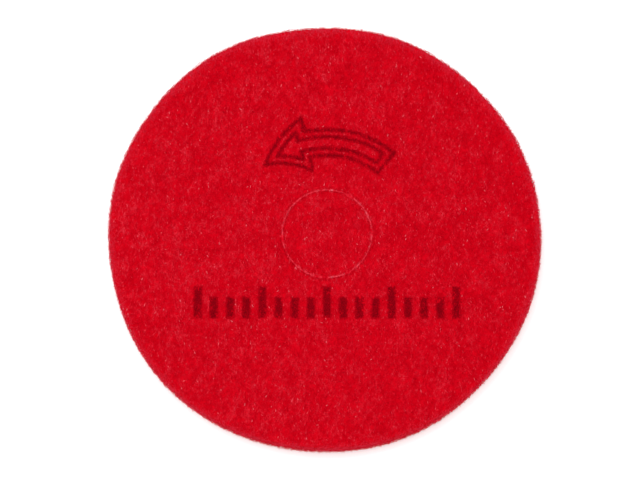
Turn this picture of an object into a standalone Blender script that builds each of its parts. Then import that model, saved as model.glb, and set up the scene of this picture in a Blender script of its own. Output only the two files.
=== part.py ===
"""Floor pad for a rotary floor machine: a thick round disc of nonwoven web, with a knock-out centre.

The pad lies flat on the floor, on its origin: +Z is up and the pad's axis runs along Z. The die cuts the
outline and, a little off centre, the circle of the knock-out. The knock-out lifts straight out along Z and
leaves the hole that the machine's centring boss goes through.
"""

import math

import bpy

# Driving dimensions, in metres.
PAD_DIAMETER = 0.406
PAD_THICKNESS = 0.025
CENTRE_CUT_DIAMETER = 0.084
CENTRE_CUT_OFFSET_X = 0.0025
CUT_GAP = 0.0006
OUTER_EDGE_RADIUS = 0.0015
CUT_EDGE_RADIUS = 0.0005
CUTTER_REACH = 0.004

# How finely the round shapes are drawn.
TURN_STEPS = 120
CORNER_STEPS = 3
MERGE_DISTANCE = 0.00005

# The web is the same red all through.
WEB_COLOUR = (0.62, 0.004, 0.012, 1.0)
WEB_ROUGHNESS = 0.95


def clear_scene():
    for obj in list(bpy.data.objects):
        bpy.data.objects.remove(obj, do_unlink=True)


def web_material(name, colour):
    material = bpy.data.materials.new(name)
    material.use_nodes = True
    shader = material.node_tree.nodes["Principled BSDF"]
    shader.inputs["Base Color"].default_value = colour
    shader.inputs["Roughness"].default_value = WEB_ROUGHNESS
    shader.inputs["Metallic"].default_value = 0.0
    return material


def corner(centre_x, centre_z, radius, start_degrees):
    """A quarter circle that turns clockwise from its start angle, as points in the XZ plane."""
    points = []
    for step in range(CORNER_STEPS + 1):
        angle = math.radians(start_degrees - 90.0 * step / CORNER_STEPS)
        x = centre_x + radius * math.cos(angle)
        z = centre_z + radius * math.sin(angle)
        points.append((x, 0.0, z))
    return points


def outer_side(radius, edge_radius):
    """The profile's outer side, from the top face down to the bottom face."""
    top = corner(radius - edge_radius, PAD_THICKNESS - edge_radius, edge_radius, 90)
    bottom = corner(radius - edge_radius, edge_radius, edge_radius, 0)
    return top + bottom


def turned_disc(name, profile):
    """Turns a profile that starts and ends on Z once round it."""
    edges = [(index, index + 1) for index in range(len(profile) - 1)]
    mesh = bpy.data.meshes.new(name)
    mesh.from_pydata(profile, edges, [])
    obj = bpy.data.objects.new(name, mesh)
    bpy.context.scene.collection.objects.link(obj)
    screw = obj.modifiers.new("Turn", "SCREW")
    screw.axis = "Z"
    screw.angle = math.tau
    screw.steps = TURN_STEPS
    screw.render_steps = TURN_STEPS
    screw.use_merge_vertices = True
    screw.merge_threshold = MERGE_DISTANCE
    screw.use_smooth_shade = True
    return obj


def centre_hole_cutter():
    """A cutter for the knock-out's hole, with its edges eased as the die leaves them."""
    radius = (CENTRE_CUT_DIAMETER + CUT_GAP) / 2
    mouth = radius + CUT_EDGE_RADIUS + CUTTER_REACH
    top = PAD_THICKNESS + CUTTER_REACH
    profile = [
        (0.0, 0.0, top),
        (mouth, 0.0, top),
        (radius, 0.0, PAD_THICKNESS - CUT_EDGE_RADIUS),
        (radius, 0.0, CUT_EDGE_RADIUS),
        (mouth, 0.0, -CUTTER_REACH),
        (0.0, 0.0, -CUTTER_REACH),
    ]
    cutter = turned_disc("centre_hole_cutter", profile)
    cutter.location.x = CENTRE_CUT_OFFSET_X
    cutter.hide_render = True
    cutter.display_type = "WIRE"
    return cutter


def pad_ring():
    """The pad itself: what stays on the machine's driver once the knock-out is out."""
    profile = [(0.0, 0.0, PAD_THICKNESS)]
    profile += outer_side(PAD_DIAMETER / 2, OUTER_EDGE_RADIUS)
    profile += [(0.0, 0.0, 0.0)]
    ring = turned_disc("pad_ring", profile)
    ring.data.materials.append(web_material("pad_web", WEB_COLOUR))
    cut = ring.modifiers.new("Centre cut", "BOOLEAN")
    cut.operation = "DIFFERENCE"
    cut.solver = "EXACT"
    cut.object = centre_hole_cutter()
    return ring


def centre_plug():
    """The knock-out. Its origin is on the axis that it slides out along."""
    radius = (CENTRE_CUT_DIAMETER - CUT_GAP) / 2
    profile = [(0.0, 0.0, PAD_THICKNESS)]
    profile += outer_side(radius, CUT_EDGE_RADIUS)
    profile += [(0.0, 0.0, 0.0)]
    plug = turned_disc("centre_plug", profile)
    plug.data.materials.append(web_material("plug_web", WEB_COLOUR))
    plug.location.x = CENTRE_CUT_OFFSET_X
    return plug


def build():
    clear_scene()
    pad_ring()
    centre_plug()


build()
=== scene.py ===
"""Looks for a red nonwoven floor pad with a knock-out centre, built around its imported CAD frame.

The web is made as what it is: a lumpy body of bonded web with thousands of separate curled fibres over its
faces, its die-cut sides and along the cut round the knock-out. All lengths are in metres.
"""

import math

import bpy
import numpy as np
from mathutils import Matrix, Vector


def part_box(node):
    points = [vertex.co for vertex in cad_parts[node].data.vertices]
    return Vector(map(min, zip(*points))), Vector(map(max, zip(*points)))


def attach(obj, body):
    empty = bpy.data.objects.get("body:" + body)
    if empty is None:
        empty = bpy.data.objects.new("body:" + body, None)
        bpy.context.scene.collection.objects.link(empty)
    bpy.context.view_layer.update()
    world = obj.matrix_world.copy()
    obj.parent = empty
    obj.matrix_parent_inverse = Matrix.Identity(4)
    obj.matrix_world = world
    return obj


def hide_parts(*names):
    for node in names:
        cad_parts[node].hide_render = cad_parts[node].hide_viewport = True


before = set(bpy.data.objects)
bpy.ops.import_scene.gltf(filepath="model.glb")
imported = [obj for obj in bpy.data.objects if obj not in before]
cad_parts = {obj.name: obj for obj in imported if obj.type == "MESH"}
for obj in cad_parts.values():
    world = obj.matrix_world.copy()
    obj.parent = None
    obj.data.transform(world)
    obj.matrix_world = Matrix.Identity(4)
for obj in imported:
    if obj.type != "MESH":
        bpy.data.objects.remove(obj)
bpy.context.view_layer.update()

MM = 0.001

# The frame's own sizes.
RING_LOW, RING_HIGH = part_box("pad_ring")
PLUG_LOW, PLUG_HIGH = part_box("centre_plug")
PAD_RADIUS = (RING_HIGH.x - RING_LOW.x) / 2
THICKNESS = RING_HIGH.z - RING_LOW.z
CUT_CENTRE = np.array([(PLUG_LOW.x + PLUG_HIGH.x) / 2, (PLUG_LOW.y + PLUG_HIGH.y) / 2])
PLUG_RADIUS = (PLUG_HIGH.x - PLUG_LOW.x) / 2
CUT_GAP = 0.3 * MM
CUT_RADIUS = PLUG_RADIUS + CUT_GAP

# How the web lies. The die rolls the outer edge over a little, and the inner cut hardly at all. CUT_STRAY is
# how far inside the centre cut a fibre stops, in mm, from the least to the most, where below zero is past it.
# SPOT_INSET is the least that a face's fibre starts inside every edge.
FIBRE_SIDES = 3
FIBRE_FLATNESS = 0.35
GRAIN_SPREAD = 0.5
FACE_INSET = 0.5 * MM
OUTER_INSET = 1.7 * MM
SIDE_FROM = 1 * MM
LOWEST_BODY = 0.3 * MM
FRAY = 0.7 * MM
LONGEST_FRAY = 1.4 * MM
CUT_STRAY = (-0.35, 0.2)
SPOT_INSET = 0.4 * MM
CUT_INSET = 0.08 * MM
CUT_WAIST = 0.5 * MM
CUT_WAIST_REACH = 2.0 * MM
OUTER_ROLL = 1.3 * MM
CUT_ROLL = 0.2 * MM

# The outline wanders in and out in equal waves of 3 to 8 lobes, each turned by a seeded random angle.
OUTLINE_WANDER = 0.33 * MM
OUTLINE_LOBES = range(3, 9)
OUTLINE_PHASES = np.random.default_rng(4).uniform(0, math.tau, len(OUTLINE_LOBES))

# The uncut bridges of web across the cut, as (angle in degrees, half width in degrees).
TIES = ((58, 5), (2, 4), (298, 4), (262, 9), (187, 5))
FIBRES_PER_DEGREE = 14

# Fibre shades run in equal steps from the deepest red to the palest, and ink goes over the printed ones.
SHADES = 10
INKS = {
    "ink_faint": (0.49, 0.0006, 0.0085),
    "ink_thin": (0.39, 0.0006, 0.0075),
    "ink_full": (0.30, 0.0006, 0.0065),
}

# Round the rim the fibres are worn to greyer shades, and the outermost take a darker, duller red that is
# painted shade where the edge rolls away from the light.
WORN_AND_SHADED = {
    "worn_shaded_least": (0.70, 0.0180, 0.0420),
    "worn_shaded_more": (0.66, 0.0310, 0.0610),
    "worn_shaded_most": (0.60, 0.0540, 0.0900),
}
# They reach further in at the far side of the rim, and the wear and painted shade fade down the side to a
# lower share.
RIM_REACH = 4.5 * MM
RIM_LEAN = 0.2
WEAR_AND_SHADE_BELOW = 0.4
WEAR_AND_SHADE_SCATTER = 0.6

# Painted glints: the palest fibre faces, painted a near white pink as highlights where they catch the light.
PAINTED_GLINT = {"painted_glint": (0.93, 0.20, 0.25)}
PAINTED_GLINT_FROM = 1.1

# How much of a face's shade comes from the resin's streaks with their painted sheen, from how high its fibre
# rides there, which is painted shade, darker where it dives, and from the centre cut nearby, where the die
# has cracked the resin off.
STREAK_AND_SHEEN_PART = 0.39
PAINTED_RISE_SHADE = 0.12
CUT_PART = 0.36
CUT_REACH = 0.7 * MM
CUT_DEPTH = 1.5 * MM
CUT_VARIETY = 0.5
CUT_VARIETY_CELL = 9 * MM

# The web's lumps, as (height, width, shift). The shift takes each from its own part of the noise.
LUMPS = ((0.25 * MM, 22 * MM, 0.0), (0.10 * MM, 7 * MM, 0.31), (0.06 * MM, 3.1 * MM, 0.77))
UNDERSIDE_LUMPS = 0.3

# The resin's streaks and patches, longer along the web's length, and a painted sheen that makes the web paler
# towards -X and deeper towards +X.
STREAK_DEPTH = 0.85
STREAK_CELL = np.array([1.4, 2.6, 1.4]) * MM
PATCH_DEPTH = 0.42
PATCH_CELL = np.array([6.0, 9.0, 6.0]) * MM
PAINTED_SHEEN_SLOPE = -0.08


def shade_colour(share):
    """The colour of a fibre from 0, the deepest red, to 1, the palest."""
    red = 0.61 + 0.27 * share
    green = 0.0001 + 0.062 * share**2.3
    blue = 0.0086 + 0.087 * share**2.0
    return red, green, blue


class SmoothNoise:
    """Value noise from -1 to 1 on a wrapped lattice of seeded random numbers."""

    def __init__(self, seed, size=96):
        self.size = size
        self.values = np.random.default_rng(seed).uniform(-1, 1, (size, size, size))

    def at(self, points, cell):
        """The noise at points, on a lattice of one cell size or one for each axis."""
        grid = points / cell
        low = np.floor(grid).astype(int)
        part = grid - low
        part = part * part * (3 - 2 * part)
        total = np.zeros(len(points))
        for corner in range(8):
            step = np.array([corner & 1, corner >> 1 & 1, corner >> 2 & 1])
            index = (low + step) % self.size
            weight = np.prod(np.where(step, part, 1 - part), axis=1)
            total += weight * self.values[index[:, 0], index[:, 1], index[:, 2]]
        return total


NOISE = SmoothNoise(11)


def outline_radius(angle):
    """The die-cut outline: round, but for the slight wander of a soft web."""
    wander = 0.0
    for lobes, phase in zip(OUTLINE_LOBES, OUTLINE_PHASES):
        wander = wander + np.cos(lobes * angle + phase)
    return PAD_RADIUS + OUTLINE_WANDER * wander


def lumps(points):
    """How far the web stands out of its plain shape at points in space."""
    return sum(height * NOISE.at(points + shift, width) for height, width, shift in LUMPS)


def resin_streaks_and_sheen(points):
    """The resin's streaks, from about -1 where it is deep to 1 where it is pale, with a painted sheen that is
    paler towards -X.
    """
    fine = STREAK_DEPTH * NOISE.at(points + 0.13, STREAK_CELL)
    broad = PATCH_DEPTH * NOISE.at(points + 0.57, PATCH_CELL)
    # The last term is the painted sheen, paler towards -X.
    return fine + broad + PAINTED_SHEEN_SLOPE * points[:, 0] / PAD_RADIUS


def facing_at(angle):
    """The flat direction that each angle faces."""
    return np.stack([np.cos(angle), np.sin(angle)], -1)


def at_level(plan, level):
    """Flat points, set at one height."""
    return np.column_stack([plan, np.full(len(plan), level)])


# ---------------------------------------------------------------- meshes


def make_mesh(name, vertices, faces, shade_of_face, materials):
    """A smooth-shaded object from arrays. faces lists one array for each number of corners."""
    mesh = bpy.data.meshes.new(name)
    mesh.vertices.add(len(vertices))
    mesh.vertices.foreach_set("co", vertices.astype(np.float32).ravel())
    corners = np.concatenate([part.ravel() for part in faces]).astype(np.int32)
    sizes = np.concatenate([np.full(len(part), part.shape[1]) for part in faces])
    starts = np.concatenate([[0], np.cumsum(sizes)[:-1]]).astype(np.int32)
    mesh.loops.add(len(corners))
    mesh.loops.foreach_set("vertex_index", corners)
    mesh.polygons.add(len(sizes))
    mesh.polygons.foreach_set("loop_start", starts)
    mesh.polygons.foreach_set("material_index", shade_of_face.astype(np.int32))
    mesh.polygons.foreach_set("use_smooth", np.ones(len(sizes), bool))
    for material in materials:
        mesh.materials.append(material)
    mesh.update(calc_edges=True)
    obj = bpy.data.objects.new(name, mesh)
    bpy.context.scene.collection.objects.link(obj)
    return obj


def swept_body(name, rings, closed, material):
    """A closed body from rings of points, one ring for each step round its section.

    A section that isn't closed starts and ends on the axis, where each end is closed by a fan.
    """
    count, around = len(rings), len(rings[0])
    vertices = np.concatenate(rings)
    rows = np.arange(count * around).reshape(count, around)
    following = np.roll(rows, -1, axis=0) if closed else rows[1:]
    current = rows if closed else rows[:-1]
    faces = [
        np.stack(
            [current, following, np.roll(following, -1, 1), np.roll(current, -1, 1)], -1
        ).reshape(-1, 4)
    ]
    if not closed:
        tips = np.array([rings[0].mean(0), rings[-1].mean(0)])
        vertices = np.concatenate([vertices, tips])
        first, last = rows[0], rows[-1]
        top_tip = np.full(around, count * around)
        faces.append(np.stack([first, np.roll(first, -1), top_tip], -1))
        faces.append(np.stack([np.roll(last, -1), last, top_tip + 1], -1))
    total = sum(len(part) for part in faces)
    return make_mesh(name, vertices, faces, np.zeros(total), [material])


def tubes(paths, normals, radii):
    """Vertices, faces and the fibre of each face, for one capped tube along each path."""
    count, steps, _ = paths.shape
    tangents = np.gradient(paths, axis=1)
    tangents /= np.linalg.norm(tangents, axis=2, keepdims=True) + 1e-12
    side = np.cross(tangents, normals)
    side /= np.linalg.norm(side, axis=2, keepdims=True) + 1e-12
    up = np.cross(side, tangents)
    taper = np.ones(steps)
    taper[0] = taper[-1] = 0.45
    reach = (radii[:, None] * taper)[:, :, None, None]
    turn = np.arange(FIBRE_SIDES) * math.tau / FIBRE_SIDES + math.pi / 2
    ring = side[:, :, None] * np.cos(turn)[:, None]
    ring = ring + up[:, :, None] * (FIBRE_FLATNESS * np.sin(turn))[:, None]
    vertices = (paths[:, :, None] + reach * ring).reshape(-1, 3)
    index = np.arange(count * steps * FIBRE_SIDES).reshape(count, steps, FIBRE_SIDES)
    beside = np.roll(index, -1, 2)
    walls = np.stack([index[:, :-1], index[:, 1:], beside[:, 1:], beside[:, :-1]], -1)
    walls = walls.reshape(-1, 4)
    caps = np.concatenate([index[:, 0, :], index[:, -1, ::-1]])
    fibre = np.arange(count)
    owner = np.concatenate([np.repeat(fibre, (steps - 1) * FIBRE_SIDES), fibre, fibre])
    return vertices, [walls, caps], owner


# ---------------------------------------------------------------- fibre paths


def curled_paths(rng, starts, headings, length, steps, curl):
    """Flat paths from each start, curling as air-laid fibres do. Lengths differ from fibre to fibre."""
    count = len(starts)
    stretch = length * rng.uniform(0.55, 1.25, count)
    step = stretch / (steps - 1)
    bend = rng.normal(0, curl, count)
    sway = rng.normal(0, curl, count)
    phase = rng.uniform(0, math.tau, count)
    beat = rng.uniform(0.25, 0.75, count)
    paths = np.empty((count, steps, 2))
    point = starts.copy()
    heading = headings.copy()
    for index in range(steps):
        paths[:, index] = point
        heading = heading + (bend + sway * np.sin(phase + beat * index)) * step
        point = point + step[:, None] * facing_at(heading)
    return paths


def kept_start(paths, inside):
    """Cuts each path where it first leaves the web, spreads its points along the rest, and drops stubs."""
    count, steps, _ = paths.shape
    outside = ~inside
    first_out = np.where(outside.any(1), outside.argmax(1), steps)
    last = np.clip(first_out - 1, 0, steps - 1)
    place = np.linspace(0, 1, steps)[None, :] * last[:, None]
    low = np.floor(place).astype(int)
    high = np.minimum(low + 1, steps - 1)
    part = (place - low)[:, :, None]
    rows = np.arange(count)[:, None]
    kept = paths[rows, low] * (1 - part) + paths[rows, high] * part
    return kept[last >= 2]


def weave(rng, count, steps):
    """How each fibre rides through its layer, from 0 at the layer's floor to 1 at its top."""
    phase = rng.uniform(0, math.tau, (count, 1))
    beat = rng.uniform(0.35, 0.9, (count, 1))
    middle = rng.uniform(0.2, 0.8, (count, 1))
    swing = rng.uniform(0.2, 0.5, (count, 1))
    return np.clip(middle + swing * np.sin(phase + beat * np.arange(steps)[None, :]), 0, 1)


def between(layer, rise):
    """The depth in a layer, given as (floor, top), at a share of its rise."""
    return layer[0] + (layer[1] - layer[0]) * rise


def lengthwise(rng, count):
    """Headings that favour the web's length, which runs along Y."""
    return math.pi / 2 + rng.normal(0, GRAIN_SPREAD, count) + math.pi * rng.integers(0, 2, count)


# ---------------------------------------------------------------- where the web is


def edge_roll(distance, radius):
    """How far a surface drops where it rolls over a cut edge, by the distance to the edge."""
    short = np.clip(radius - distance, 0, radius)
    return radius - np.sqrt(radius**2 - short**2)


def at_ties(angle):
    """True where the web is left uncut across the centre cut."""
    degrees = np.degrees(angle) % 360
    found = np.zeros(angle.shape, bool)
    for middle, half in TIES:
        found |= np.abs((degrees - middle + 180) % 360 - 180) < half
    return found


def from_cut(points):
    """How far flat points are from the middle of the centre cut."""
    return np.linalg.norm(points - CUT_CENTRE, axis=-1)


def from_outline(points):
    """How far flat points are inside the outline, below zero outside it."""
    angle = np.arctan2(points[..., 1], points[..., 0])
    return outline_radius(angle) - np.linalg.norm(points, axis=-1)


class RingRegion:
    """The pad's face between the centre cut and the outline."""

    def edge(self, points):
        """How far inside the nearest edge points are."""
        return np.minimum(from_cut(points) - CUT_RADIUS, from_outline(points))

    def holds(self, rng, paths):
        """Which points of the paths are in the web, when each fibre frays by a different length."""
        count = (len(paths), 1)
        past_cut = from_cut(paths) - CUT_RADIUS > rng.uniform(*CUT_STRAY, count) * MM
        fray = rng.normal(-0.2 * MM, FRAY, count)
        return past_cut & (from_outline(paths) > np.clip(fray, -LONGEST_FRAY, None))

    def drop(self, points):
        """How far the face drops by its two edges."""
        by_cut = edge_roll(from_cut(points) - CUT_RADIUS, CUT_ROLL)
        return edge_roll(from_outline(points), OUTER_ROLL) + by_cut

    def spots(self, rng, count):
        """Random places in the web for fibres to start, at most as many as asked for."""
        reach = PAD_RADIUS * np.sqrt(rng.uniform(0, 1, count * 2))
        angle = rng.uniform(0, math.tau, count * 2)
        points = reach[:, None] * facing_at(angle)
        return points[self.edge(points) > SPOT_INSET][:count]


class PlugRegion:
    """The knock-out's face."""

    def edge(self, points):
        """How far inside the nearest edge points are."""
        return PLUG_RADIUS - from_cut(points)

    def holds(self, rng, paths):
        """Which points of the paths are in the web, when each fibre strays by a different length."""
        return self.edge(paths) > rng.uniform(*CUT_STRAY, (len(paths), 1)) * MM

    def drop(self, points):
        """How far the face drops by its edge."""
        return edge_roll(self.edge(points), CUT_ROLL)

    def spots(self, rng, count):
        """Random places in the web for fibres to start, at most as many as asked for."""
        reach = PLUG_RADIUS * np.sqrt(rng.uniform(0, 1, count))
        angle = rng.uniform(0, math.tau, count)
        points = CUT_CENTRE + reach[:, None] * facing_at(angle)
        return points[self.edge(points) > SPOT_INSET]


RING = RingRegion()
PLUG = PlugRegion()


# ---------------------------------------------------------------- the print

# The arrow is drawn straight, with its point to the left, and bent round the centre cut. ARROW_LINE is half
# the width of its lines. The bars stand in a row below it, and the ink runs a little way past both.
ARROW_RADIUS = 88 * MM
ARROW_LINE = 1.5 * MM
ARROW_CORNERS = MM * np.array(
    [(60, 12.5), (-19, 12.5), (-19, 26), (-63, 0), (-19, -26), (-19, -12.5), (60, -12.5)], float
)
INNER_CORNERS = MM * np.array(
    [(53, 5.5), (-26, 5.5), (-26, 13.7), (-49.3, 0), (-26, -13.7), (-26, -5.5), (53, -5.5)], float
)
BAR_COUNT = 17
BAR_PITCH = 15 * MM
BAR_WIDTH = 6.6 * MM
BAR_FOOT = -80 * MM
BAR_TALL = 29 * MM
BAR_SHORT = 19 * MM
TALL_EVERY = 4
INK_BLEED = 0.8 * MM
INK_BLEED_CELL = 1.4 * MM
INK_DEPTH = 1.4 * MM
INK_REACH = {"ink_faint": -1.0 * MM, "ink_thin": -0.1 * MM, "ink_full": 0.6 * MM}


def outline_distance(points, corners):
    """The distance from each point to a closed outline through the corners."""
    nearest = np.full(len(points), np.inf)
    for start, end in zip(corners, np.roll(corners, -1, axis=0)):
        along = end - start
        place = np.clip((points - start) @ along / (along @ along), 0, 1)
        gap = np.linalg.norm(points - start - place[:, None] * along, axis=1)
        nearest = np.minimum(nearest, gap)
    return nearest


def box_distance(points, low, high):
    """The signed distance from each point to an upright box, below zero inside it."""
    past = np.maximum(low - points, points - high)
    outside = np.linalg.norm(np.clip(past, 0, None), axis=1)
    return outside + np.minimum(past.max(1), 0)


def print_distance(points):
    """The signed distance to the plain print: a turning arrow in double outline, and a row of gauge bars."""
    local = points - CUT_CENTRE
    turn = np.arctan2(local[:, 0], local[:, 1])
    unrolled = np.stack([turn * ARROW_RADIUS, np.linalg.norm(local, axis=1) - ARROW_RADIUS], 1)
    inner = outline_distance(unrolled, INNER_CORNERS)
    nearest = np.minimum(outline_distance(unrolled, ARROW_CORNERS), inner) - ARROW_LINE
    for number in range(-(BAR_COUNT // 2), BAR_COUNT // 2 + 1):
        tall = BAR_TALL if number % TALL_EVERY == 0 else BAR_SHORT
        low = np.array([number * BAR_PITCH - BAR_WIDTH / 2, BAR_FOOT])
        high = low + np.array([BAR_WIDTH, tall])
        nearest = np.minimum(nearest, box_distance(local, low, high))
    return nearest


# ---------------------------------------------------------------- materials


def node(tree, kind, **inputs):
    """A new node with its inputs set by name, with _ for each space."""
    made = tree.nodes.new(kind)
    for name, value in inputs.items():
        made.inputs[name.replace("_", " ")].default_value = value
    return made


def fibre_material(name, colour):
    """One shade of resin-coated fibre, glossier where the resin pools."""
    material = bpy.data.materials.new("fibre_" + name)
    material.use_nodes = True
    tree = material.node_tree
    shader = tree.nodes["Principled BSDF"]
    shader.inputs["Base Color"].default_value = (*colour, 1)
    shader.inputs["Specular IOR Level"].default_value = 0.005
    place = tree.nodes.new("ShaderNodeTexCoord")
    resin = node(tree, "ShaderNodeTexNoise", Scale=420.0, Detail=2.0)
    gloss = node(tree, "ShaderNodeMapRange", From_Min=0.35, From_Max=0.65, To_Min=0.9, To_Max=0.5)
    tree.links.new(place.outputs["Object"], resin.inputs["Vector"])
    tree.links.new(resin.outputs["Fac"], gloss.inputs["Value"])
    tree.links.new(gloss.outputs["Result"], shader.inputs["Roughness"])
    return material


def web_material(name):
    """The web under the loose fibres: mottled red with swirling strands in its colour and its bump, a deeper
    red than the fibres as painted shade in the pores.
    """
    material = bpy.data.materials.new(name)
    material.use_nodes = True
    tree = material.node_tree
    shader = tree.nodes["Principled BSDF"]
    shader.inputs["Specular IOR Level"].default_value = 0.01
    shader.inputs["Roughness"].default_value = 0.85
    place = tree.nodes.new("ShaderNodeTexCoord")
    strands = node(tree, "ShaderNodeTexNoise", Scale=520.0, Detail=3.0, Distortion=2.6)
    patches = node(tree, "ShaderNodeTexNoise", Scale=90.0, Detail=2.0)
    mixed = tree.nodes.new("ShaderNodeMath")
    mixed.operation = "MULTIPLY_ADD"
    mixed.inputs[1].default_value = 0.7
    # The ramp's reds are deeper than the fibres', painted shade for the web seen in the gaps between them.
    ramp = tree.nodes.new("ShaderNodeValToRGB")
    ramp.color_ramp.elements[0].position = 0.42
    ramp.color_ramp.elements[0].color = (0.47, 0.0002, 0.0048, 1)
    ramp.color_ramp.elements[1].position = 0.95
    ramp.color_ramp.elements[1].color = (0.58, 0.0018, 0.0105, 1)
    part = tree.nodes.new("ShaderNodeMath")
    part.operation = "MULTIPLY"
    part.inputs[1].default_value = 0.55
    bump = node(tree, "ShaderNodeBump", Strength=0.6, Distance=0.3 * MM)
    links = tree.links
    links.new(place.outputs["Object"], strands.inputs["Vector"])
    links.new(place.outputs["Object"], patches.inputs["Vector"])
    links.new(patches.outputs["Fac"], part.inputs[0])
    links.new(strands.outputs["Fac"], mixed.inputs[0])
    links.new(part.outputs[0], mixed.inputs[2])
    links.new(mixed.outputs[0], ramp.inputs["Fac"])
    links.new(ramp.outputs["Color"], shader.inputs["Base Color"])
    links.new(strands.outputs["Fac"], bump.inputs["Height"])
    links.new(bump.outputs["Normal"], shader.inputs["Normal"])
    return material


WEB = web_material("web")
FIBRES = [fibre_material(f"red_{step}", shade_colour(step / (SHADES - 1))) for step in range(SHADES)]
FIBRES += [fibre_material(name, colour) for name, colour in {**WORN_AND_SHADED, **INKS, **PAINTED_GLINT}.items()]
PAINTED_GLINT_SHADE = len(FIBRES) - 1


# ---------------------------------------------------------------- the bodies of web


def place_piece(obj, body):
    """Sets what moves a piece."""
    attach(obj, body)
    return obj


def cut_inset(level):
    """How far the body stands back from the centre cut: hardly at all by the faces, more between them."""
    from_face = min(level, THICKNESS - level)
    return CUT_INSET + (CUT_WAIST - CUT_INSET) * min(from_face / CUT_WAIST_REACH, 1)


def body_section(inner_at, outer_at, across, up):
    """Rings round the section: top face outwards, outer side down, bottom face inwards, inner side up.

    inner_at and outer_at give the plan of a side at a level. inner_at is None for a body with no hole.
    """
    top, bottom = THICKNESS - FACE_INSET, FACE_INSET
    start = 0.0 if inner_at else 1 / across
    rings = []

    def face(level, shares):
        outer = outer_at(level)
        heart = inner_at(level) if inner_at else np.broadcast_to(CUT_CENTRE, outer.shape)
        for share in shares:
            plan = heart + share * (outer - heart)
            rings.append(at_level(plan, level))

    def side(plan_at, levels):
        for level in levels:
            plan = plan_at(level)
            rings.append(at_level(plan, level))

    shares = np.linspace(start, 1, across)
    levels = np.linspace(top, bottom, up + 1)[1:-1]
    face(top, shares)
    side(outer_at, levels)
    face(bottom, shares[::-1])
    if inner_at:
        side(inner_at, levels[::-1])
    return rings


def roughened(rings, region):
    """Lets the faces rise and fall, and rolls their edges over."""
    made = []
    for ring in rings:
        plan = ring[:, :2]
        drop = region.drop(plan)
        rise = lumps(ring)
        on_top = ring[:, 2] > THICKNESS / 2
        height = np.where(on_top, ring[:, 2] + rise - drop, ring[:, 2] - UNDERSIDE_LUMPS * rise + drop)
        beside = (ring[:, 2] > SIDE_FROM) & (ring[:, 2] < THICKNESS - SIDE_FROM)
        height = np.where(beside, ring[:, 2], height)
        made.append(np.column_stack([plan, np.clip(height, LOWEST_BODY, None)]))
    return made


def compass(around):
    """Evenly spaced angles, and the flat directions that they face."""
    angle = np.arange(around) * math.tau / around
    return angle, facing_at(angle)


def ring_body():
    """The pad's body of web, with the centre cut through it."""
    angle, facing = compass(around=560)

    def outer_at(level):
        return (outline_radius(angle) - OUTER_INSET)[:, None] * facing

    def inner_at(level):
        return CUT_CENTRE + (CUT_RADIUS + cut_inset(level)) * facing

    rings = roughened(body_section(inner_at, outer_at, across=62, up=12), RING)
    body = swept_body("pad_web_body", rings, True, WEB)
    place_piece(body, "pad")
    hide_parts("pad_ring")
    return body


def plug_body():
    """The knock-out's body of web."""
    angle, facing = compass(around=150)

    def outer_at(level):
        return CUT_CENTRE + (PLUG_RADIUS - cut_inset(level)) * facing

    rings = roughened(body_section(None, outer_at, across=20, up=12), PLUG)
    body = swept_body("plug_web_body", rings, False, WEB)
    place_piece(body, "plug")
    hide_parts("centre_plug")
    return body


# ---------------------------------------------------------------- the fibres


def cracked(points):
    """How much paler the web is by the centre cut, where the die has cracked the resin off the fibres."""
    plan = points[:, :2]
    past = (from_cut(plan) - (PLUG_RADIUS + CUT_RADIUS) / 2) / CUT_REACH
    depth = np.clip(THICKNESS - points[:, 2], 0, None) / CUT_DEPTH
    variety = 1 + CUT_VARIETY * NOISE.at(points + 0.7, CUT_VARIETY_CELL)
    line = CUT_PART * variety * np.exp(-(past**2) - depth)
    local = plan - CUT_CENTRE
    whole = at_ties(np.arctan2(local[:, 1], local[:, 0]))
    return np.where(whole, 0, line)


def rim_wear_and_shade(rng, centres, shades):
    """Gives faces round the rim the worn shades, with painted shade in the darkest, the more the nearer they
    are to it.
    """
    plan = centres[:, :2]
    reach = RIM_REACH * (1 + RIM_LEAN * plan[:, 1] / PAD_RADIUS)
    depth = np.clip(THICKNESS - centres[:, 2], 0, None) / RIM_REACH
    wear_and_shade = len(WORN_AND_SHADED) * reach / RIM_REACH * np.exp(-np.clip(from_outline(plan), 0, None) / reach)
    wear_and_shade *= WEAR_AND_SHADE_BELOW + (1 - WEAR_AND_SHADE_BELOW) * np.exp(-depth)
    wear_and_shade += rng.uniform(-WEAR_AND_SHADE_SCATTER, WEAR_AND_SHADE_SCATTER, len(wear_and_shade))
    level = np.clip(np.floor(wear_and_shade).astype(int), 0, len(WORN_AND_SHADED))
    return np.where(level > 0, SHADES + level - 1, shades)


def inked(centres, shades):
    """Gives the faces of the top fibres that lie in the print the ink's shades."""
    on_top = centres[:, 2] > THICKNESS - INK_DEPTH
    depth = INK_BLEED * NOISE.at(centres + 0.5, INK_BLEED_CELL) - print_distance(centres[:, :2])
    first_ink = SHADES + len(WORN_AND_SHADED)
    for number, ink in enumerate(INKS):
        shades = np.where(on_top & (depth > INK_REACH[ink]), first_ink + number, shades)
    return shades


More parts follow.
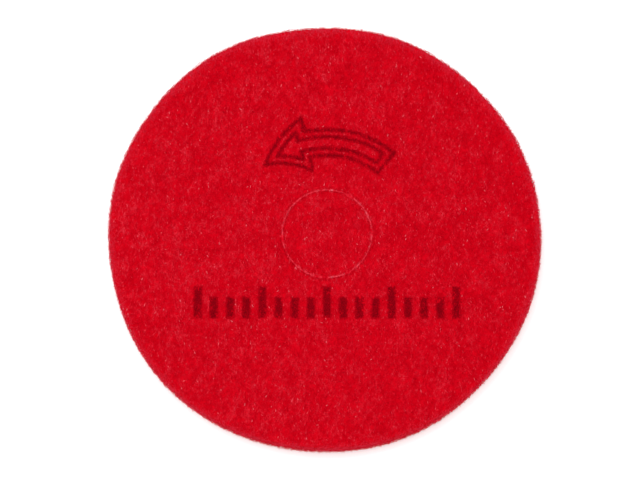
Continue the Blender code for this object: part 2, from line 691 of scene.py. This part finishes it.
def add_fibres(name, body, paths, normals, radii, tone, rise, ink=False):
    """One piece of separate fibres that ride on a body.

    A face's shade comes from its fibre's own tone, the resin's streaks with a painted sheen, painted shade by
    how high the fibre rides there, how near it is to a cut edge, with painted shade at the rim, and the print
    where ink is True. The palest faces are painted glints.
    """
    rng = np.random.default_rng(len(paths))
    vertices, faces, owner = tubes(paths, normals, radii)
    rise_at = np.repeat(rise.ravel(), FIBRE_SIDES)
    centres = np.concatenate([vertices[part].mean(1) for part in faces])
    rise_shade = np.concatenate([rise_at[part].mean(1) for part in faces]) - 0.5
    share = tone[owner] + STREAK_AND_SHEEN_PART * resin_streaks_and_sheen(centres) + PAINTED_RISE_SHADE * rise_shade + cracked(centres)
    shades = rim_wear_and_shade(rng, centres, np.clip((share * SHADES).astype(int), 0, SHADES - 1))
    # The palest faces get the painted glint.
    shades = np.where(share > PAINTED_GLINT_FROM, PAINTED_GLINT_SHADE, shades)
    if ink:
        shades = inked(centres, shades)
    obj = make_mesh(name, vertices, faces, shades, FIBRES)
    return place_piece(obj, body)


def varied(rng, width, count):
    """A number for each fibre that differs a little from its neighbours', such as its radius."""
    return width * rng.uniform(0.75, 1.2, count)


def upwards(paths, sense=1.0):
    """A normal for each point of the paths, straight up, or straight down where sense is -1."""
    return np.broadcast_to(np.array([0, 0, sense]), paths.shape)


def laid_on_top(paths, depth, rise, drop=0.0):
    """Lays flat paths in the top face, in the layer between two depths."""
    flat = paths.reshape(-1, 2)
    height = THICKNESS + lumps(at_level(flat, THICKNESS)) + between(depth, rise).ravel() - drop
    return np.column_stack([flat, height]).reshape(*paths.shape[:2], 3)


def laid_underneath(paths, depth, rise, drop, lowest):
    """Lays flat paths in the bottom face, no lower than a fibre can lie on the floor."""
    flat = paths.reshape(-1, 2)
    height = drop - UNDERSIDE_LUMPS * lumps(at_level(flat, 0.0)) - between(depth, rise).ravel()
    return np.column_stack([flat, np.maximum(height, lowest)]).reshape(*paths.shape[:2], 3)


def face_fibres(seed, name, body, slot, region, up, layer, count):
    """Fibres that lie curled in the top face, or in the bottom face where up is False."""
    rng = np.random.default_rng(seed)
    steps = layer["steps"]
    spots = region.spots(rng, count)
    headings = lengthwise(rng, len(spots))
    paths = curled_paths(rng, spots, headings, layer["length"], steps, layer["curl"])
    paths = kept_start(paths, region.holds(rng, paths))
    rise = weave(rng, len(paths), steps)
    drop = region.drop(paths.reshape(-1, 2))
    if up:
        paths = laid_on_top(paths, layer["depth"], rise, drop)
    else:
        paths = laid_underneath(paths, layer["depth"], rise, drop, 1.2 * layer["radius"])
    normals = upwards(paths, 1.0 if up else -1.0)
    radii = varied(rng, layer["radius"], len(paths))
    tone = rng.normal(layer["tone"], TONE_SPREAD, len(paths))
    return add_fibres(name, body, paths, normals, radii, tone, rise, ink=up and region is RING)


def print_fibres():
    """Short fibres close under the print's top ones, so that the ink lies solid."""
    rng = np.random.default_rng(90)
    spots = RING.spots(rng, 60000)
    spots = spots[print_distance(spots) < 0]
    steps = 5
    count = len(spots)
    headings = lengthwise(rng, count)
    paths = curled_paths(rng, spots, headings, length=4.5 * MM, steps=steps, curl=110)
    rise = weave(rng, count, steps)
    paths = laid_on_top(paths, (-0.45 * MM, 0.0), rise)
    tone = rng.normal(0.25, 0.09, count)
    radii = varied(rng, 0.24 * MM, count)
    name = "pad_print_fibres"
    return add_fibres(name, "pad", paths, upwards(paths), radii, tone, rise, ink=True)


def flecks(seed, name, body, slot, region, count):
    """Short bright ends of fibre all over the top face, whose pale tones are painted glints where they stand
    up to the light.
    """
    rng = np.random.default_rng(seed)
    steps = 4
    spots = region.spots(rng, count)
    headings = lengthwise(rng, len(spots))
    paths = curled_paths(rng, spots, headings, length=2.2 * MM, steps=steps, curl=50)
    paths = kept_start(paths, region.edge(paths) > 0)
    rise = weave(rng, len(paths), steps)
    paths = laid_on_top(paths, (-0.1 * MM, 0.25 * MM), rise, region.drop(paths.reshape(-1, 2)))
    radii = varied(rng, 0.23 * MM, len(paths))
    tone = 0.40 + rng.exponential(0.17, len(paths))
    return add_fibres(name, body, paths, upwards(paths), radii, tone, rise, ink=region is RING)


def wall_points(wall, angle, level, lift):
    """Points on a cut side, at an angle round its centre and a height, lifted off the side."""
    base = wall["radius"](angle)
    facing = facing_at(angle)
    place = np.concatenate([wall["centre"] + base[..., None] * facing, level[..., None]], -1)
    rise = wall["wander"] * lumps(place.reshape(-1, 3)).reshape(angle.shape)
    from_face = np.clip(np.minimum(level, THICKNESS - level), 0, None)
    reach = base + wall["outward"] * (lift + rise - edge_roll(from_face, wall["roll"]))
    return np.concatenate([wall["centre"] + reach[..., None] * facing, level[..., None]], -1)


def wall_fibres(seed, name, body, slot, wall, count):
    """Short lengths of fibre in a die-cut side, mostly level, as the layers of the web lie."""
    rng = np.random.default_rng(seed)
    steps = 5
    around = math.tau * float(np.mean(wall["radius"](np.linspace(0, math.tau, 64))))
    starts = np.stack([rng.uniform(0, around, count), rng.uniform(0, THICKNESS, count)], 1)
    headings = rng.normal(0, 0.55, count) + math.pi * rng.integers(0, 2, count)
    flat = curled_paths(rng, starts, headings, length=5 * MM, steps=steps, curl=170)
    margin = 0.25 * MM
    inside = (flat[:, :, 1] > margin) & (flat[:, :, 1] < THICKNESS - margin)
    flat = kept_start(flat, inside)
    angle = flat[:, :, 0] * math.tau / around
    level = flat[:, :, 1]
    rise = weave(rng, len(flat), steps)
    paths = wall_points(wall, angle, level, between(wall["layer"], rise))
    facing = wall["outward"] * np.stack([np.cos(angle), np.sin(angle), np.zeros_like(angle)], -1)
    radii = varied(rng, 0.18 * MM, len(paths))
    tone = rng.normal(wall["tone"], wall["variety"], len(paths))
    return add_fibres(name, body, paths, facing, radii, tone, rise)


def wall_ends(seed, name, body, slot, wall, count):
    """The cut ends of fibres that stand out of a die-cut side."""
    rng = np.random.default_rng(seed)
    steps = 3
    root = 1.6 * MM
    inset = 0.4 * MM
    margin = 0.3 * MM
    deepest = -0.6 * MM
    angle = np.repeat(rng.uniform(0, math.tau, (count, 1)), steps, 1)
    level = np.repeat(rng.uniform(inset, THICKNESS - inset, (count, 1)), steps, 1)
    along = np.linspace(0, 1, steps)[None, :]
    lean = rng.normal(0, 0.8, (count, 2, 1)) * MM
    angle = angle + lean[:, 0] * along / wall["radius"](angle)
    level = np.clip(level + lean[:, 1] * along, margin, THICKNESS - margin)
    middle, spread = wall["ends"]
    tip = np.clip(rng.normal(middle, spread, (count, 1)), deepest, wall["longest"])
    paths = wall_points(wall, angle, level, -root + (tip + root) * along)
    radii = varied(rng, 0.17 * MM, count)
    tone = rng.normal(wall["tone"] + 0.05, wall["variety"], count)
    # Their painted rise shade runs from dark at the root, where they go into the side, to light at the tip.
    rise = np.broadcast_to(along, (count, steps))
    return add_fibres(name, body, paths, upwards(paths), radii, tone, rise)


def cut_line_fibres(seed, name, body, slot, radius, outward):
    """Short cut fibres that lie along the centre cut, on one side of it, and close its gap from above."""
    rng = np.random.default_rng(seed)
    count = 1500
    steps = 5
    angle = rng.uniform(0, math.tau, count)
    lip = 0.15 * MM
    reach = radius - outward * rng.uniform(-0.1, 0.7, count) * MM
    starts = CUT_CENTRE + reach[:, None] * facing_at(angle)
    headings = angle + math.pi / 2 + rng.normal(0, 0.5, count) + math.pi * rng.integers(0, 2, count)
    paths = curled_paths(rng, starts, headings, length=2.8 * MM, steps=steps, curl=160)
    flat = paths.reshape(-1, 2)
    past = np.clip(outward * (from_cut(flat) - radius) - lip, 0, None)
    facing = (flat - CUT_CENTRE) / from_cut(flat)[:, None]
    paths = (flat - outward * past[:, None] * facing).reshape(count, steps, 2)
    rise = weave(rng, count, steps)
    paths = laid_on_top(paths, (-0.25 * MM, 0.2 * MM), rise)
    radii = varied(rng, 0.13 * MM, count)
    tone = rng.normal(CUT_TONE, 0.08, count)
    return add_fibres(name, body, paths, upwards(paths), radii, tone, rise)


def tie_fibres():
    """The uncut bridges across the cut. They tear off the pad, so they go with the knock-out."""
    rng = np.random.default_rng(71)
    middles, halves = np.array(TIES, float).T
    copies = (FIBRES_PER_DEGREE * halves).astype(int)
    middles = np.radians(np.repeat(middles, copies))
    halves = np.radians(np.repeat(halves, copies))
    angle = middles + halves * rng.uniform(-1, 1, len(middles))
    count = len(angle)
    steps = 5
    start = PLUG_RADIUS - rng.uniform(0.8, 2.0, count) * MM
    starts = CUT_CENTRE + start[:, None] * facing_at(angle)
    headings = angle + rng.normal(0, 0.5, count)
    paths = curled_paths(rng, starts, headings, length=4.2 * MM, steps=steps, curl=60)
    rise = weave(rng, count, steps)
    paths = laid_on_top(paths, (-0.3 * MM, 0.2 * MM), rise)
    radii = varied(rng, 0.19 * MM, count)
    tone = rng.normal(MIDDLE["tone"], 0.09, count)
    return add_fibres("plug_ties", "plug", paths, upwards(paths), radii, tone, rise)


# The layers of a face: how long, thick and curled their fibres are, the floor and top of the layer against
# the face, and the middle of their tones.
UNDER = {"length": 18 * MM, "radius": 0.30 * MM, "curl": 110, "steps": 8,
         "depth": (-0.9 * MM, -0.4 * MM), "tone": 0.20}
MIDDLE = {"length": 14 * MM, "radius": 0.19 * MM, "curl": 120, "steps": 8,
          "depth": (-0.65 * MM, -0.05 * MM), "tone": 0.25}
UPPER = {"length": 12 * MM, "radius": 0.16 * MM, "curl": 140, "steps": 8,
         "depth": (-0.4 * MM, 0.15 * MM), "tone": 0.26}
TONE_SPREAD = 0.04
CUT_TONE = 0.40


def bore_radius(angle):
    """The wall of the centre cut, which is round."""
    return np.full(np.shape(angle), CUT_RADIUS)


def plug_radius(angle):
    """The knock-out's side, which is round."""
    return np.full(np.shape(angle), PLUG_RADIUS)


# The die-cut sides: which way they face, how far they roll over by the faces and wander in and out, where
# their fibres lie against the side, how far their cut ends stand out of it (the middle, the spread and the
# longest), and the middle and spread of their tones.
OUTER_WALL = {"centre": np.zeros(2), "radius": outline_radius, "outward": 1, "roll": OUTER_ROLL,
              "wander": 0.6, "layer": (-1.5 * MM, 0.1 * MM), "ends": (0.25 * MM, FRAY),
              "longest": LONGEST_FRAY, "tone": 0.22, "variety": 0.10}
BORE_WALL = {"centre": CUT_CENTRE, "radius": bore_radius, "outward": -1, "roll": CUT_ROLL,
             "wander": 0.15, "layer": (-0.6 * MM, -0.05 * MM), "ends": (-0.05 * MM, 0.1 * MM),
             "longest": 0.1 * MM, "tone": 0.30, "variety": 0.14}
PLUG_WALL = {**BORE_WALL, "radius": plug_radius, "outward": 1}


def ring_fibres():
    """All the pad's fibres but those by the centre cut."""
    pad = ("pad", "pad_web")
    print_fibres()
    for part in range(3):
        face_fibres(100 + part, f"pad_top_under_{part}", *pad, RING, True, UNDER, 3600)
    for part in range(5):
        face_fibres(110 + part, f"pad_top_middle_{part}", *pad, RING, True, MIDDLE, 3800)
    for part in range(4):
        face_fibres(120 + part, f"pad_top_upper_{part}", *pad, RING, True, UPPER, 3900)
    flecks(125, "pad_top_flecks", *pad, RING, 9000)
    face_fibres(130, "pad_bottom_under", *pad, RING, False, UNDER, 3600)
    for part in range(2):
        face_fibres(131 + part, f"pad_bottom_middle_{part}", *pad, RING, False, MIDDLE, 3800)
    face_fibres(135, "pad_bottom_upper", *pad, RING, False, UPPER, 3900)
    wall_fibres(140, "pad_side_fibres", *pad, OUTER_WALL, 7400)
    wall_ends(141, "pad_side_ends", *pad, OUTER_WALL, 12000)


def cut_fibres():
    """The fibres in the wall of the centre cut, along it, and all over the knock-out."""
    pad = ("pad", "pad_web")
    plug = ("plug", "plug_web")
    wall_fibres(150, "bore_fibres", *pad, BORE_WALL, 2400)
    wall_ends(151, "bore_ends", *pad, BORE_WALL, 2600)
    cut_line_fibres(152, "cut_line_pad", *pad, CUT_RADIUS, -1)
    wall_fibres(160, "plug_side_fibres", *plug, PLUG_WALL, 2400)
    wall_ends(161, "plug_side_ends", *plug, PLUG_WALL, 2600)
    cut_line_fibres(162, "cut_line_plug", *plug, PLUG_RADIUS, 1)
    face_fibres(170, "plug_top_under", *plug, PLUG, True, UNDER, 480)
    face_fibres(171, "plug_top_middle", *plug, PLUG, True, MIDDLE, 850)
    face_fibres(172, "plug_top_upper", *plug, PLUG, True, UPPER, 700)
    face_fibres(173, "plug_bottom_under", *plug, PLUG, False, UNDER, 160)
    face_fibres(174, "plug_bottom_middle", *plug, PLUG, False, MIDDLE, 340)
    face_fibres(175, "plug_bottom_upper", *plug, PLUG, False, UPPER, 300)
    flecks(176, "plug_top_flecks", *plug, PLUG, 420)
    tie_fibres()


# ---------------------------------------------------------------- the studio


def floor():
    """A pale light table, so that the pad throws hardly any shadow."""
    mesh = bpy.data.meshes.new("floor")
    half = 30.0
    corners = [(-half, -half, 0), (half, -half, 0), (half, half, 0), (-half, half, 0)]
    mesh.from_pydata(corners, [], [(0, 1, 2, 3)])
    material = bpy.data.materials.new("floor")
    material.use_nodes = True
    shader = material.node_tree.nodes["Principled BSDF"]
    shader.inputs["Base Color"].default_value = (0.93, 0.93, 0.93, 1)
    shader.inputs["Roughness"].default_value = 1.0
    shader.inputs["Specular IOR Level"].default_value = 0.0
    shader.inputs["Emission Color"].default_value = (1, 1, 1, 1)
    shader.inputs["Emission Strength"].default_value = 0.2
    mesh.materials.append(material)
    obj = bpy.data.objects.new("floor", mesh)
    bpy.context.scene.collection.objects.link(obj)


def area_light(name, place, size, power):
    """A square light that points at the middle of the frame."""
    light = bpy.data.lights.new(name, "AREA")
    light.shape = "SQUARE"
    light.size = size
    light.energy = power
    obj = bpy.data.objects.new(name, light)
    obj.location = place
    obj.rotation_euler = (-obj.location).to_track_quat("-Z", "Y").to_euler()
    bpy.context.scene.collection.objects.link(obj)


def studio():
    """White light from all round, and one broad soft light from above."""
    world = bpy.data.worlds.new("studio")
    bpy.context.scene.world = world
    world.use_nodes = True
    background = world.node_tree.nodes["Background"]
    background.inputs["Color"].default_value = (1.0, 1.0, 1.0, 1)
    background.inputs["Strength"].default_value = 1.01
    area_light("key", place=(-0.5, 0.35, 2.4), size=2.2, power=32)
    bpy.context.scene.view_settings.view_transform = "Standard"


def camera():
    """Looks down at the pad from in front, a little off the vertical."""
    data = bpy.data.cameras.new("camera")
    data.sensor_width = 36.0
    data.lens = 119.65
    data.clip_end = 100.0
    elevation = math.radians(77.8)
    distance = 2.0
    aim = np.array([-0.0040, -0.0036, THICKNESS / 2])
    obj = bpy.data.objects.new("camera", data)
    obj.location = aim + distance * np.array([0, -math.cos(elevation), math.sin(elevation)])
    obj.rotation_euler = (math.pi / 2 - elevation, 0, 0)
    bpy.context.scene.collection.objects.link(obj)
    bpy.context.scene.camera = obj


ring_body()
plug_body()
ring_fibres()
cut_fibres()
floor()
studio()
camera()
